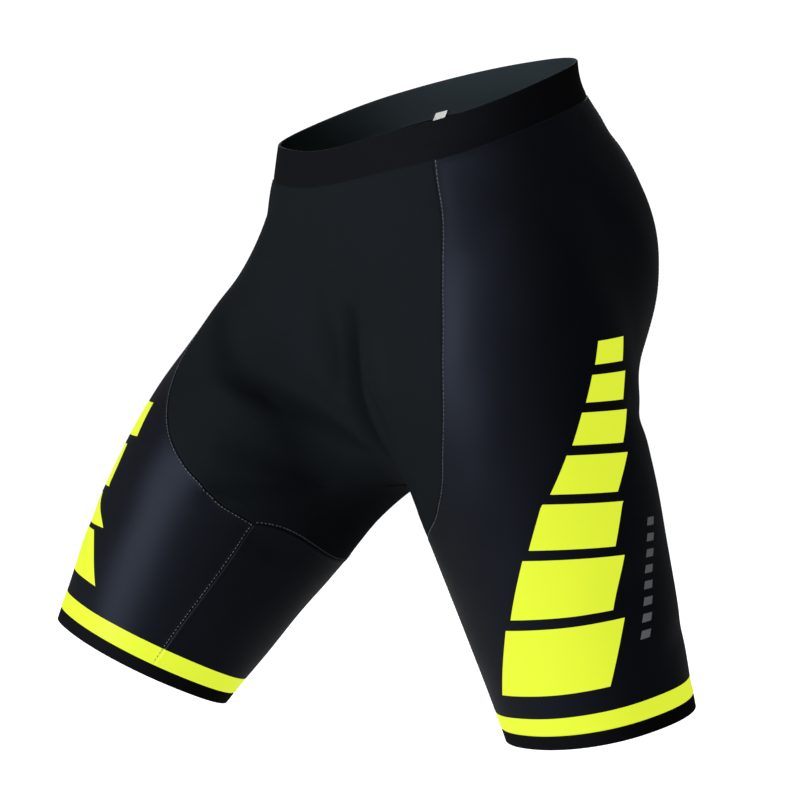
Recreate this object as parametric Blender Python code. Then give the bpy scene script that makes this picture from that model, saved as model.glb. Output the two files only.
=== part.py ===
"""Cycling shorts, filled out as worn: the panels, waistband and leg bands as a maker cuts and sews them.

The garment's form is the smooth join of a trunk, two legs and the two halves of the seat, each worked out
from a short table of sections. Rows run round it level by level from the waist to the hems, and every
piece is a stretch of those rows between its seams, with a thin wall on the inside.
"""

import bpy
import numpy as np

# Lengths in millimetres. X runs to the wearer's left, Y to the back, Z up, from the middle of the waist.
CENTRE_X = -4.0
FORK_LEVEL = 284.0
HEM_LEVEL = 479.0
WAIST_PITCH = 0.31
WAIST_ROLL = 0.076
HEM_BAND = 12.0
# The waist's edge, by the angle round from the front: a dip there, a rise towards the back, gone at RIM_FADE.
FRONT_DIP = 4.5
FRONT_DIP_SPREAD = 0.38
BACK_RISE = 3.5
BACK_RISE_FROM = 0.9
BACK_RISE_RUN = 1.2
RIM_FADE = 70.0
# The rows' middles: their distance from the centre line at the waist and the fork, and their place there.
MIDDLE_AT_WAIST = 45.0
MIDDLE_AT_FORK = 90.0
MIDDLE_BACK = 10.0
# Shares of the way up to the waist, and down to the hem, over which the rows' planes turn.
LEVEL_ABOVE_FORK = 0.15
TILT_RUN = 0.75
HEM_TURN_RUN = 0.8
# The front and back panels end on the inner thigh, in a lower seam that starts at the inseam's top.
CORNER_LEVEL = 320.0
UNDER_SPREAD = np.radians(73)
UNDER_SAG = 28.0

# Cloth, and the gap that each seam keeps between two pieces.
MILLIMETRE = 0.001
PANEL_WALL = 1.2
BAND_WALL = 2.0
HEM_WALL = 1.6
LABEL_WALL = 1.0
SEAM_GAP = 0.3
WAISTBAND = 27.0

# The grids: columns of each panel and band, and rows, which lie closer where the cloth turns under the fork.
FRONT_CELLS = 8
HIP_CELLS = 19
BACK_CELLS = 8
WAIST_CELLS = 30
WAIST_ROWS = 3
HEM_CELLS = 32
EVEN_LEVELS_TO = 250.0
EVEN_ROWS = 14
TURNING_ROWS = 5
TURNING_POWER = 1.8
CORNER_ROWS = 5
CORNER_POWER = 1.6
LEG_ROWS = 10
LABEL_CELLS = 2

# Where the front and back seams run: their distances forward and back of a line down the outer side.
SEAMS = np.array([
    # level, left front, left back, right front, right back
    (     0,         77,        97,          74,         94),
    (    27,         78,       103,          75,        107),
    (    60,         82,       124,          75,        135),
    (   100,         98,       146,          80,        162),
    (   140,        110,       141,          95,        169),
    (   180,        119,       113,         109,        161),
    (   220,        125,        88,         140,        147),
    (   250,        129,        83,         176,        132),
    (   268,        131,        92,         203,        122),
    (   284,        136,       106,         230,        110),
    (   300,        148,       115,         243,        101),
    (   320,        181,       120,         266,         87),
], float)

# The largest creases, in straight runs on the cloth: soft troughs, or ridges where the depth is above nought.
FOLDS = np.array([
    # face, from level, across, to level, across, depth, width
    (    1,        118,     46,      252,     77,  -4.5,    15),
    (    1,        186,    -88,      262,     50,  -2.6,    12),
    (    1,        150,    -26,      214,    -20,  -2.2,    12),
    (    1,         26,    -96,       46,    -70,   1.8,    14),
    (   -1,        246,     40,      228,    150,  -4.0,    15),
    (   -1,        250,    -44,      222,   -158,  -3.4,    15),
    (   -1,         90,      6,      214,      2,  -3.0,    16),
], float)
# A crease fades towards the far side, over this share of the row.
FOLD_REACH = 0.6

# A small size tab inside the waist, at the back.
LABEL_SIZE = (10.0, 16.0)
LABEL_LEVEL = 23.0
LABEL_ACROSS = 278.0

# Horizontal sections of the trunk, from the waist down.
TRUNK = np.array([
    # height, middle x, middle y, half width, front depth, back depth
    (    60,        0,        0,        121,          90,         94),
    (    12,        0,        0,        123,          92,        101),
    (   -12,        0,        2,        127,          93,        119),
    (   -34,       -1,        6,        134,          98,        131),
    (   -56,       -2,       11,        141,         104,        137),
    (   -80,       -4,       16,        148,         109,        138),
    (  -110,       -5,       22,        156,         112,        132),
    (  -150,       -5,       24,        160,         108,        121),
    (  -190,       -5,       22,        156,         100,        110),
    (  -220,       -5,       18,        146,          88,         96),
    (  -250,       -5,       12,        116,          62,         72),
    (  -266,       -5,        9,         74,          40,         46),
    (  -276,       -5,        6,          2,           2,          2),
], float)
# Between the thighs the cloth hangs like the underside of a round bar that runs from one to the other.
BRIDGE_ENDS = ((-78, 4, -220), (74, 11, -204))
BRIDGE_RADIUS = 68.0

# Each leg's axis from the hip down: its slopes across and back, the inseam's turn in degrees from the inner
# side towards the front at the lower seam and at the hem, and how much of the hem's plane is level.
LEGS = {
    "left": dict(
        side=1, hip=(90, 4, -190), slope=(0.09, 0.25), length=271,
        inseam_turn=(59, 45), hem_level=0.25,
    ),
    "right": dict(
        side=-1, hip=(-94, -16, -190), slope=(-0.34, -0.58), length=275,
        inseam_turn=(22, 22), hem_level=0.22,
    ),
}

# Sections square to each leg's axis, by the distance along it from the hip.
LEG_SECTIONS = {
    "left": np.array([
        # along, outer, inner, front, back
        (  -150,    20,    20,    20,   20),
        (  -110,    62,    40,    50,   56),
        (   -60,    82,    56,    76,   76),
        (     0,    90,    68,    90,   81),
        (    60,    90,    73,    91,   82),
        (   120,    85,    73,    82,   82),
        (   180,    78,    71,    73,   80),
        (   240,    71,    68,    65,   77),
        (   290,    67,    66,    60,   75),
    ], float),
    "right": np.array([
        (  -150,    20,    20,    20,   20),
        (  -110,    60,    40,    49,   56),
        (   -60,    81,    56,    83,   82),
        (     0,    91,    68,    96,   92),
        (    60,    94,    76,    99,   96),
        (   120,    91,    77,   100,   93),
        (   180,    82,    75,    93,   84),
        (   240,    73,    71,    78,   77),
        (   290,    68,    67,    62,   73),
    ], float),
}
SEAT_MIDDLE = (64, 80, -118)
SEAT_RADII = (76, 60, 84)
# Power of the sections' ovals: above 2 they are a little square.
TRUNK_POWER = 2.3
LEG_POWER = 2.2
# Radii over which the forms run into each other.
TRUNK_BRIDGE_BLEND = 12.0
TRUNK_LEG_BLEND = 36.0
LEG_LEG_BLEND = 22.0
SEAT_BLEND = 24.0


def spline(table, at):
    """Smooth curve through a table's rows, by cubics with averaged slopes, held at its ends."""
    knots, values = table[:, 0], table[:, 1:]
    if knots[0] > knots[-1]:
        knots, values = knots[::-1], values[::-1]
    at = np.clip(at, knots[0], knots[-1])
    slopes = np.gradient(values, knots, axis=0)
    i = np.clip(np.searchsorted(knots, at) - 1, 0, len(knots) - 2)
    width = knots[i + 1] - knots[i]
    t = ((at - knots[i]) / width)[..., None]
    width = width[..., None]
    return ((2 * t**3 - 3 * t**2 + 1) * values[i] + (t**3 - 2 * t**2 + t) * width * slopes[i]
            + (3 * t**2 - 2 * t**3) * values[i + 1] + (t**3 - t**2) * width * slopes[i + 1])


def smooth(t):
    t = np.clip(t, 0, 1)
    return t * t * (3 - 2 * t)


def unit(v):
    return v / np.linalg.norm(v, axis=-1, keepdims=True)


def outside_oval(across, along, half_across, half_along, power):
    """Distance outside a rounded oval, measured along the ray from its middle."""
    length = np.sqrt(across**2 + along**2) + 1e-9
    ratio = ((np.abs(across) / half_across)**power + (np.abs(along) / half_along)**power)**(1 / power)
    return length * (1 - 1 / np.maximum(ratio, 1e-6))


def joined(a, b, blend):
    """The smaller of two distances, rounded where they meet."""
    near = np.maximum(blend - np.abs(a - b), 0) / blend
    return np.minimum(a, b) - near * near * blend / 4


def trunk(p):
    section = spline(TRUNK, p[..., 2])
    x, y = p[..., 0] - section[..., 0], p[..., 1] - section[..., 1]
    depth = np.where(y < 0, section[..., 3], section[..., 4])
    return np.maximum(outside_oval(x, y, section[..., 2], depth, TRUNK_POWER), TRUNK[-1, 0] - p[..., 2])


def bridge(p):
    start, end = np.array(BRIDGE_ENDS, float)
    run = end - start
    share = np.clip((p - start) @ run / (run @ run), 0, 1)
    return np.linalg.norm(p - start - share[..., None] * run, axis=-1) - BRIDGE_RADIUS


def leg_axes(half):
    """Down, outward and forward directions of a leg."""
    leg = LEGS[half]
    down = unit(np.array([leg["slope"][0], leg["slope"][1], -1.0]))
    side = np.array([leg["side"], 0.0, 0.0])
    out = unit(side - down * (side @ down))
    return down, out, np.cross(down, out) * leg["side"]


def leg(p, half):
    down, out, front = leg_axes(half)
    q = p - np.array(LEGS[half]["hip"], float)
    along, across, forward = q @ down, q @ out, q @ front
    section = spline(LEG_SECTIONS[half], along)
    width = np.where(across > 0, section[..., 0], section[..., 1])
    depth = np.where(forward > 0, section[..., 2], section[..., 3])
    top = LEG_SECTIONS[half][0, 0]
    return np.maximum(outside_oval(across, forward, width, depth, LEG_POWER), top - along)


def seat(p, side):
    middle = np.array(SEAT_MIDDLE, float) * (side, 1, 1) + (CENTRE_X, 0, 0)
    return (np.linalg.norm((p - middle) / SEAT_RADII, axis=-1) - 1) * min(SEAT_RADII)


def form(p):
    """Distance outside the filled-out garment: trunk, bridge, legs and the two halves of the seat, joined."""
    body = joined(trunk(p), bridge(p), TRUNK_BRIDGE_BLEND)
    legs = joined(leg(p, "left"), leg(p, "right"), LEG_LEG_BLEND)
    seats = np.minimum(seat(p, 1), seat(p, -1))
    return joined(joined(body, legs, TRUNK_LEG_BLEND), seats, SEAT_BLEND)


def form_normal(p, step=0.5):
    steps = np.eye(3) * step
    return unit(np.stack([form(p + s) - form(p - s) for s in steps], -1))


def surface_distance(start, direction, reach=260.0):
    """Distance from inside points along their directions to the form's surface."""
    steps = np.linspace(0, reach, 53)
    outside = form(start[..., None, :] + direction[..., None, :] * steps[:, None]) > 0
    first = np.where(outside.any(-1), outside.argmax(-1), len(steps) - 1)
    near, far = steps[np.maximum(first - 1, 0)], steps[first]
    for _ in range(14):
        middle = (near + far) / 2
        out = form(start + direction * middle[..., None]) > 0
        near, far = np.where(out, near, middle), np.where(out, middle, far)
    return (near + far) / 2


def cast(half, start, direction):
    """Surface points from inside one half along directions, no further than the garment's centre plane."""
    side = LEGS[half]["side"]
    inward = -direction[..., 0] * side
    to_centre = (start[..., 0] - CENTRE_X) * side / inward.clip(1e-6)
    return start + direction * np.minimum(surface_distance(start, direction), to_centre)[..., None]


def fork_point():
    """Lowest point of the form's surface on the centre plane, between the legs."""
    y = np.linspace(-40, 60, 201)
    start = np.stack([np.full_like(y, CENTRE_X), y, np.full_like(y, -200.0)], -1)
    drop = surface_distance(start, np.array([0.0, 0.0, -1.0]) + 0 * start, 140.0)
    lowest = np.argmax(drop)
    return np.array([CENTRE_X, y[lowest], -200 - drop[lowest]])


FORK = fork_point()


def row_frame(half, level):
    """Middle, outward and forward directions of the plane of each level.

    The plane of the waist is tilted, that of the fork is flat, and the hem's is nearly square to the leg.
    """
    side = LEGS[half]["side"]
    above = np.clip(1 - level / FORK_LEVEL, 0, 1)[..., None]
    below = ((level - FORK_LEVEL) / (HEM_LEVEL - FORK_LEVEL))[..., None]
    tilt = smooth((above - LEVEL_ABOVE_FORK) / TILT_RUN)
    waist = np.array([-WAIST_ROLL, -WAIST_PITCH, 0]) * tilt + (0, 0, 1)
    down, _, _ = leg_axes(half)
    square = LEGS[half]["hem_level"]
    hem = -down * (1 - square) + np.array([0, 0, square])
    turn = smooth(below / HEM_TURN_RUN)
    up = unit(np.where(below > 0, waist * (1 - turn) + hem * turn, waist))
    out = unit(np.array([side, 0, 0]) - up * up[..., :1] * side)
    front = np.cross(out, up) * side
    # The trunk's planes pass through the centre line, the leg's through its axis.
    z = np.minimum(level, FORK_LEVEL)[..., None] * FORK[2] / FORK_LEVEL
    line = np.concatenate([np.full_like(z, CENTRE_X), FORK[1] * (1 - above), z], -1)
    out_by = MIDDLE_AT_FORK + (MIDDLE_AT_WAIST - MIDDLE_AT_FORK) * above
    middle = np.concatenate([CENTRE_X + side * out_by, MIDDLE_BACK * (1 - above), z], -1)
    middle[..., 2:] -= ((middle - line)[..., :2] * up[..., :2]).sum(-1, keepdims=True) / up[..., 2:]
    hip = np.array(LEGS[half]["hip"], float)
    start = hip + down * (FORK[2] - hip[2]) / down[2]
    end = hip + down * LEGS[half]["length"]
    middle = np.where(below > 0, start + (end - start) * below, middle)
    return middle, out, front, up, line


def rim_rise(angle_from_front):
    """How far the waist's edge stands above its plane: down at the front, up at the back."""
    dip = FRONT_DIP * np.exp(-(angle_from_front / FRONT_DIP_SPREAD)**2)
    return BACK_RISE * smooth((angle_from_front - BACK_RISE_FROM) / BACK_RISE_RUN) - dip


def inseam_angle(half, level):
    """Where the leg panel's own seam lies, from the outer side round by the front."""
    turned = np.interp(level, (CORNER_LEVEL, HEM_LEVEL), LEGS[half]["inseam_turn"])
    return np.pi - np.radians(turned)


def split_angle(half, level):
    """Where the front and back panels meet, from the fork down to the back of the inner thigh."""
    middle, out, front, _, _ = row_frame(half, np.array([FORK_LEVEL + 1e-3]))
    to_fork = FORK - middle[0]
    fork = np.arctan2(to_fork @ front[0], to_fork @ out[0]) % (2 * np.pi)
    corner = inseam_angle(half, CORNER_LEVEL) + UNDER_SPREAD
    return fork + (corner - fork) * (level - FORK_LEVEL) / (CORNER_LEVEL - FORK_LEVEL)


def sag(half, level, angle):
    """How far a row dips at the back of the inner thigh, to follow the panels' lower seam."""
    from_middle = np.angle(np.exp(1j * (angle - inseam_angle(half, CORNER_LEVEL) - UNDER_SPREAD)))
    window = np.cos(np.pi / 2 * np.clip(from_middle / UNDER_SPREAD, -1, 1))**2
    fade = np.interp(level, (FORK_LEVEL, CORNER_LEVEL, HEM_LEVEL - HEM_BAND), (0, 1, 0))
    return UNDER_SAG * window * fade


def ray(half, levels, angle):
    """Surface points in the planes of the levels, at angles from the outer side round by the front."""
    middle, out, front, _, _ = row_frame(half, levels)
    return cast(half, middle, np.cos(angle)[:, None] * out + np.sin(angle)[:, None] * front)


def angle_to(half, level, points):
    """Angles at which points near the plane of a level are seen from its middle."""
    middle, out, front, _, _ = (v[0] for v in row_frame(half, np.array([level])))
    return np.arctan2((points - middle) @ front, (points - middle) @ out)


def side_angle(half, level):
    """Where a line down the outer side crosses a row of the trunk, so that it runs on down the leg's side."""
    leg_side = ray(half, np.array([FORK_LEVEL + 1e-3]), np.zeros(1))[0]
    return angle_to(half, FORK_LEVEL - 1e-3, leg_side) * smooth(level / FORK_LEVEL)


def row(half, level, from_inseam=False, count=121):
    """Points along the row of one level, and the distance along it to the outer side.

    Above the fork a row runs from the front's centre line outwards round to the back's. From the fork down it
    is a closed ring. It starts where the front and back panels meet, or at the leg's inseam.
    """
    level = float(level)
    levels = np.full(count, level)
    if level < FORK_LEVEL - 0.01:
        levels -= rim_rise(np.linspace(0, np.pi, count)) * (1 - smooth(level / RIM_FADE))
        _, _, _, up, line = row_frame(half, levels[[0, -1]])
        forward = unit(np.stack([0 * up[:, 0], -up[:, 2], up[:, 1]], -1)) * [[1], [-1]]
        ends = line + forward * surface_distance(line, forward)[:, None]
        first, last = angle_to(half, level, ends) % (2 * np.pi)
        angle = np.linspace(first, last - 2 * np.pi, count)
        points = ray(half, levels, angle)
        points[[0, -1]] = ends
        side = side_angle(half, level)
    else:
        levels = levels.clip(FORK_LEVEL + 1e-3)
        start = inseam_angle(half, level) if from_inseam else split_angle(half, level)
        angle = np.linspace(start, start - 2 * np.pi, count)
        points = ray(half, levels + sag(half, level, angle), angle)
        if level < FORK_LEVEL + 0.01:
            points[[0, -1]] = FORK
        side = 0.0
    return points, np.interp(-side, -angle, lengths(points))


def lengths(points):
    step = np.linalg.norm(np.diff(points, axis=0), axis=1)
    return np.concatenate([[0], np.cumsum(step)])


def stations(points, distance):
    """Points at the given distances along a row."""
    total = lengths(points)
    return np.stack([np.interp(distance, total, points[:, k]) for k in range(3)], -1)


def seams(half, level):
    """Distances along a row to its front seam, its back seam and its end."""
    points, side = row(half, level)
    left_front, left_back, right_front, right_back = spline(SEAMS, np.array(level))
    front, back = (left_front, left_back) if half == "left" else (right_front, right_back)
    return side - front, side + back, lengths(points)[-1]


def folded(points, half, level, across, total):
    """The points moved along the form's normal by the creases near them."""
    side = LEGS[half]["side"]
    shift = np.zeros(len(points))
    for face, level_0, across_0, level_1, across_1, depth, width in FOLDS:
        from_line = across if face > 0 else total - across
        place = np.stack([np.full_like(across, level), from_line * side], -1)
        start, run = np.array([level_0, across_0]), np.array([level_1 - level_0, across_1 - across_0])
        share = np.clip((place - start) @ run / (run @ run), 0, 1)
        away = np.linalg.norm(place - start - share[:, None] * run, axis=1)
        near_face = smooth(2 - 2 * from_line / (FOLD_REACH * total))
        shift += depth * np.exp(-(away / width)**2) * near_face
    return points + form_normal(points) * shift[:, None]


def cloth_row(half, level, across, from_inseam=False):
    """Points of the cloth at the given distances along a row."""
    points, _ = row(half, level, from_inseam)
    return folded(stations(points, across), half, level, across, lengths(points)[-1])


def row_length(half, level, from_inseam=False):
    return lengths(row(half, level, from_inseam)[0])[-1]


def corner_length(half):
    """Length of the lower seam's front stretch, from where the front and back panels meet to the inseam."""
    points, _ = row(half, CORNER_LEVEL)
    angles = np.linspace(0, 2 * np.pi, len(points))
    return np.interp(UNDER_SPREAD, angles, lengths(points))


def inset(points, loop, amount):
    """Moves a piece's edge points inwards along its surface, by half the seam's gap."""
    edge = points[loop]
    before, after = edge - np.roll(edge, 1, axis=0), np.roll(edge, -1, axis=0) - edge
    normal = form_normal(edge)
    first, second = unit(np.cross(before, normal)), unit(np.cross(after, normal))
    mitre = (first + second) / (1 + (first * second).sum(-1, keepdims=True)).clip(0.3)
    moved = points.copy()
    moved[loop] += mitre * amount
    return moved


def new_material(name, colour, roughness):
    material = bpy.data.materials.new(name)
    material.use_nodes = True
    shader = material.node_tree.nodes["Principled BSDF"]
    shader.inputs["Base Color"].default_value = (*colour, 1)
    shader.inputs["Roughness"].default_value = roughness
    shader.inputs["Metallic"].default_value = 0
    return material


def cloth_piece(name, points, faces, wall, material):
    """A piece of cloth from its outer points and faces, with an inner side and edges that follow the form."""
    inner = points - form_normal(points) * wall
    edges = np.concatenate([faces[:, [k, (k + 1) % 4]] for k in range(4)])
    _, kind, uses = np.unique(np.sort(edges, axis=1), axis=0, return_inverse=True, return_counts=True)
    open_edges = edges[uses[kind.ravel()] == 1]
    start, end = open_edges.T
    inside = len(points)
    sides = np.stack([end, start, start + inside, end + inside], -1)
    mesh = bpy.data.meshes.new(name)
    mesh.from_pydata(
        (np.concatenate([points, inner]) * MILLIMETRE).tolist(), [],
        np.concatenate([faces, faces[:, ::-1] + inside, sides]).tolist(),
    )
    mesh.materials.append(material)
    mesh.shade_smooth()
    mesh.set_sharp_from_angle(angle=np.radians(40))
    piece = bpy.data.objects.new(name, mesh)
    bpy.context.collection.objects.link(piece)
    return piece


def grid_loop(index):
    """The edge points of a grid of point numbers, in order round it."""
    return np.concatenate([index[0, :-1], index[:-1, -1], index[-1, :0:-1], index[:0:-1, 0]])


def grid_faces(index, half):
    """Quads of a grid of point numbers, facing out."""
    quads = np.stack([index[:-1, :-1], index[1:, :-1], index[1:, 1:], index[:-1, 1:]], -1).reshape(-1, 4)
    return quads if LEGS[half]["side"] > 0 else quads[:, ::-1]


def seam_side(half):
    """Half a seam's gap, with the sign that turns a piece's edge into the piece."""
    return SEAM_GAP / 2 * LEGS[half]["side"]


def panel(name, half, levels, begins, ends, cells, material):
    """A panel between two seams, given by their distances along each row."""
    share = np.linspace(0, 1, cells + 1)
    rows = [cloth_row(half, level, begin + (end - begin) * share)
            for level, begin, end in zip(levels, begins, ends)]
    index = np.arange(len(rows) * len(share)).reshape(len(rows), len(share))
    points = inset(np.concatenate(rows), grid_loop(index), seam_side(half))
    return cloth_piece(name, points, grid_faces(index, half), PANEL_WALL, material)


def panel_levels():
    """Levels of the rows from the waistband to the lower seam of the front and back panels."""
    even = np.linspace(WAISTBAND, EVEN_LEVELS_TO, EVEN_ROWS)
    left_over = 1 - np.linspace(0, 1, TURNING_ROWS + 1)[1:]
    turning = FORK_LEVEL - (FORK_LEVEL - EVEN_LEVELS_TO) * left_over**TURNING_POWER
    below = np.linspace(0, 1, CORNER_ROWS + 1)[1:]
    return np.concatenate([even, turning, FORK_LEVEL + (CORNER_LEVEL - FORK_LEVEL) * below**CORNER_POWER])


def ring_row(half, level, share):
    """A leg's row from its inseam once round, at the given shares of its length."""
    return cloth_row(half, level, share * row_length(half, level, True), True)


def front_panel(half, material):
    levels = panel_levels()
    ends = [seams(half, level)[0] for level in levels]
    ends[-1] = corner_length(half)
    return panel(f"front_panel_{half}", half, levels, np.zeros(len(levels)), ends, FRONT_CELLS, material)


def back_panel(half, material):
    levels = panel_levels()
    _, begins, ends = np.array([seams(half, level) for level in levels]).T
    return panel(f"back_panel_{half}", half, levels, begins, ends, BACK_CELLS, material)


def leg_panel(half, material):
    """The panel that wraps the outside of the hip, and below the lower seam the whole leg."""
    levels = panel_levels()[:-1]
    begins, ends, _ = np.array([seams(half, level) for level in levels]).T
    # Round the leg, the columns below the lower seam match those of the panels above it.
    _, back_seam, ring = seams(half, CORNER_LEVEL)
    meeting = 1 - corner_length(half) / ring
    hip_end = meeting - (ring - back_seam) / ring
    hip_share = np.linspace(0, 1, HIP_CELLS + 1)
    share = np.concatenate([
        hip_share * hip_end,
        np.linspace(hip_end, meeting, BACK_CELLS + 1)[1:],
        np.linspace(meeting, 1, FRONT_CELLS + 1)[1:],
    ])
    hip_rows = [cloth_row(half, level, begin + (end - begin) * hip_share)
                for level, begin, end in zip(levels, begins, ends)]
    leg_levels = np.linspace(CORNER_LEVEL, HEM_LEVEL - HEM_BAND, LEG_ROWS)
    leg_rows = [ring_row(half, level, share) for level in leg_levels]
    hip_points = len(hip_rows) * len(hip_share)
    leg_index = hip_points + np.arange(len(leg_rows) * len(share)).reshape(len(leg_rows), len(share))
    hip_index = np.arange(hip_points).reshape(len(hip_rows), len(hip_share))
    hip_index = np.concatenate([hip_index, leg_index[:1, :HIP_CELLS + 1]])
    loop = np.concatenate([
        hip_index[0, :-1], hip_index[:-1, -1], leg_index[0, HIP_CELLS:-1], leg_index[:-1, -1],
        leg_index[-1, :0:-1], leg_index[:0:-1, 0], hip_index[:0:-1, 0],
    ])
    points = inset(np.concatenate(hip_rows + leg_rows), loop, seam_side(half))
    faces = np.concatenate([grid_faces(hip_index, half), grid_faces(leg_index, half)])
    return cloth_piece(f"leg_panel_{half}", points, faces, PANEL_WALL, material)


def ring_piece(name, rows, half, wall, material):
    """A closed band from rows that each run once round."""
    index = np.arange(len(rows) * len(rows[0])).reshape(len(rows), -1)
    index = np.concatenate([index, index[:, :1]], axis=1)
    return cloth_piece(name, np.concatenate(rows), grid_faces(index, half), wall, material)


def waistband(material):
    levels = np.linspace(0, WAISTBAND - SEAM_GAP / 2, WAIST_ROWS)
    share = np.linspace(0, 1, WAIST_CELLS + 1)
    rows = []
    for level in levels:
        left = cloth_row("left", level, share * row_length("left", level))
        right = cloth_row("right", level, share * row_length("right", level))
        rows.append(np.concatenate([left[:-1], right[:0:-1]]))
    return ring_piece("waistband", rows, "left", BAND_WALL, material)


def hem_band(half, material):
    share = np.linspace(0, 1, HEM_CELLS + 1)[:-1]
    levels = (HEM_LEVEL - HEM_BAND + SEAM_GAP / 2, HEM_LEVEL)
    rows = [ring_row(half, level, share) for level in levels]
    return ring_piece(f"hem_band_{half}", rows, half, HEM_WALL, material)


def label(material):
    """The size tab, flat against the inside of the waistband."""
    width, length = LABEL_SIZE
    across = LABEL_ACROSS + np.linspace(0, width, LABEL_CELLS + 1)
    levels = LABEL_LEVEL + np.linspace(0, length, LABEL_CELLS + 1)
    rows = [cloth_row("right", level, across) for level in levels]
    points = np.concatenate(rows)
    points -= form_normal(points) * (BAND_WALL + SEAM_GAP)
    index = np.arange(len(points)).reshape(len(rows), -1)
    return cloth_piece("label", points, grid_faces(index, "right"), LABEL_WALL, material)


def main():
    for old in list(bpy.data.objects):
        bpy.data.objects.remove(old, do_unlink=True)
    matte = new_material("matte_black", (0.010, 0.012, 0.011), 0.62)
    sheen = new_material("sheen_black", (0.009, 0.010, 0.013), 0.42)
    band = new_material("band_black", (0.008, 0.008, 0.009), 0.70)
    white = new_material("label_white", (0.85, 0.85, 0.83), 0.60)
    waistband(band)
    for half in LEGS:
        front_panel(half, matte)
        back_panel(half, matte)
        leg_panel(half, sheen)
        hem_band(half, band)
    label(white)


if __name__ == "__main__":
    main()
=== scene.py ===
"""Cycling shorts, filled out as worn: fine shells of stretch knit, their seams, stitches and print.

The cloth's form is the smooth join of a trunk, two legs and the two halves of the seat, the same as in the
solids that it replaces. Rows run round it level by level, and a panel is a grid of points along those rows.
"""

from functools import lru_cache

import bpy
import numpy as np
from bpy.props import FloatProperty, FloatVectorProperty, IntProperty, PointerProperty
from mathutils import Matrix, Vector


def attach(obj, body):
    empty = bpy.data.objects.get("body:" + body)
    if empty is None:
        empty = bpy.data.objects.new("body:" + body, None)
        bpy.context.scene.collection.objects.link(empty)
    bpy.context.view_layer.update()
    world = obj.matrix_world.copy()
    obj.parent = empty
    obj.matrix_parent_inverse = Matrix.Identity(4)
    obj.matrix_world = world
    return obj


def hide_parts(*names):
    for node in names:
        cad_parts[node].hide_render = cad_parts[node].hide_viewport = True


bl_info = {
    "name": "Cycling Shorts",
    "version": (1, 0, 0),
    "blender": (4, 5, 0),
    "location": "3D View > Sidebar > Shorts",
    "description": "Builds cycling shorts from panels of stretch knit, with flat seams and print",
    "category": "Add Mesh",
}

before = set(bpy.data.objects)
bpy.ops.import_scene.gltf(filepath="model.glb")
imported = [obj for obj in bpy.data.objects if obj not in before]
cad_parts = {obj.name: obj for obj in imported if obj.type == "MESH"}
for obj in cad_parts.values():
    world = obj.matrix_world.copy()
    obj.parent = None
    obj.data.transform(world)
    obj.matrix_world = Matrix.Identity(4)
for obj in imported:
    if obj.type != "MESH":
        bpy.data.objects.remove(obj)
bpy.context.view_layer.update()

# Lengths in millimetres. X runs to the wearer's left, Y to the back, Z up, from the middle of the waist.
MILLIMETRE = 0.001
TURN = 2 * np.pi
CENTRE_X = -4.0
FORK_LEVEL = 284.0
HEM_LEVEL = 479.0
WAIST_PITCH = 0.31
WAIST_ROLL = 0.076
WAISTBAND = 27.0
HEM_BAND = 12.0
FRONT_DIP = 4.5
FRONT_DIP_SPREAD = 0.38
BACK_RISE = 3.5
BACK_RISE_FROM = 0.9
BACK_RISE_RUN = 1.2
RIM_FADE = 70.0
MIDDLE_AT_WAIST = 45.0
MIDDLE_AT_FORK = 90.0
MIDDLE_BACK = 10.0
LEVEL_ABOVE_FORK = 0.15
TILT_RUN = 0.75
HEM_TURN_RUN = 0.8
CORNER_LEVEL = 320.0
UNDER_SPREAD = np.radians(73)
UNDER_SAG = 28.0
PANEL_WALL = 1.1
BAND_WALL = 2.0
HEM_WALL = 1.6
FAR_ABOVE = 1000.0

# Points along a row, and how close the shells' rows, columns and edge columns lie.
ROW_POINTS = 145
ROW_STEP = 3.1
COLUMN_STEP = 3.3
EDGE_COLUMNS = (0.0, 0.5, 1.1, 1.8, 2.8, 4.4)
TURNING_FROM = 246.0
TURNING_ROWS = 17
TURNING_POWER = 1.8
UNDER_ROWS = 14
UNDER_POWER = 1.6
WAISTBAND_STEP = 2.4
WAIST_COLUMNS = 121
HEM_BAND_STEP = 1.8
HEM_COLUMNS = 140
LOWER_SEAM_POINTS = 160

# A shell's edge at a seam: where the lip beside it stands, and how deep and wide it dips.
LIP_PLACE = 1.5
LIP_SPREAD = 1.1
PANEL_DIP = 0.55
BAND_DIP = 0.4
DIP_SPREAD = 0.8
# The cloth's broad waves: their height, and how far from a seam they begin.
WAVE_HEIGHT = 0.35
WAVE_FADE = 14.0

# Stitches: how far they lie beside a seam and above the cloth, and their width over their thickness.
STITCH_OFFSET = 1.3
STITCH_LIFT = 0.25
STITCH_FLATNESS = 2.6

# Where the front and back seams run: their distances forward and back of a line down the outer side.
SEAMS = np.array([
    # level, left front, left back, right front, right back
    (  0,  77,  97,  74,  94),
    ( 27,  78, 103,  75, 107),
    ( 60,  82, 124,  75, 135),
    (100,  98, 146,  80, 162),
    (140, 110, 141,  95, 169),
    (180, 119, 113, 109, 161),
    (220, 125,  88, 140, 147),
    (250, 129,  83, 176, 132),
    (268, 131,  92, 203, 122),
    (284, 136, 106, 230, 110),
    (300, 148, 115, 243, 101),
    (320, 181, 120, 266,  87),
], float)

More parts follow.
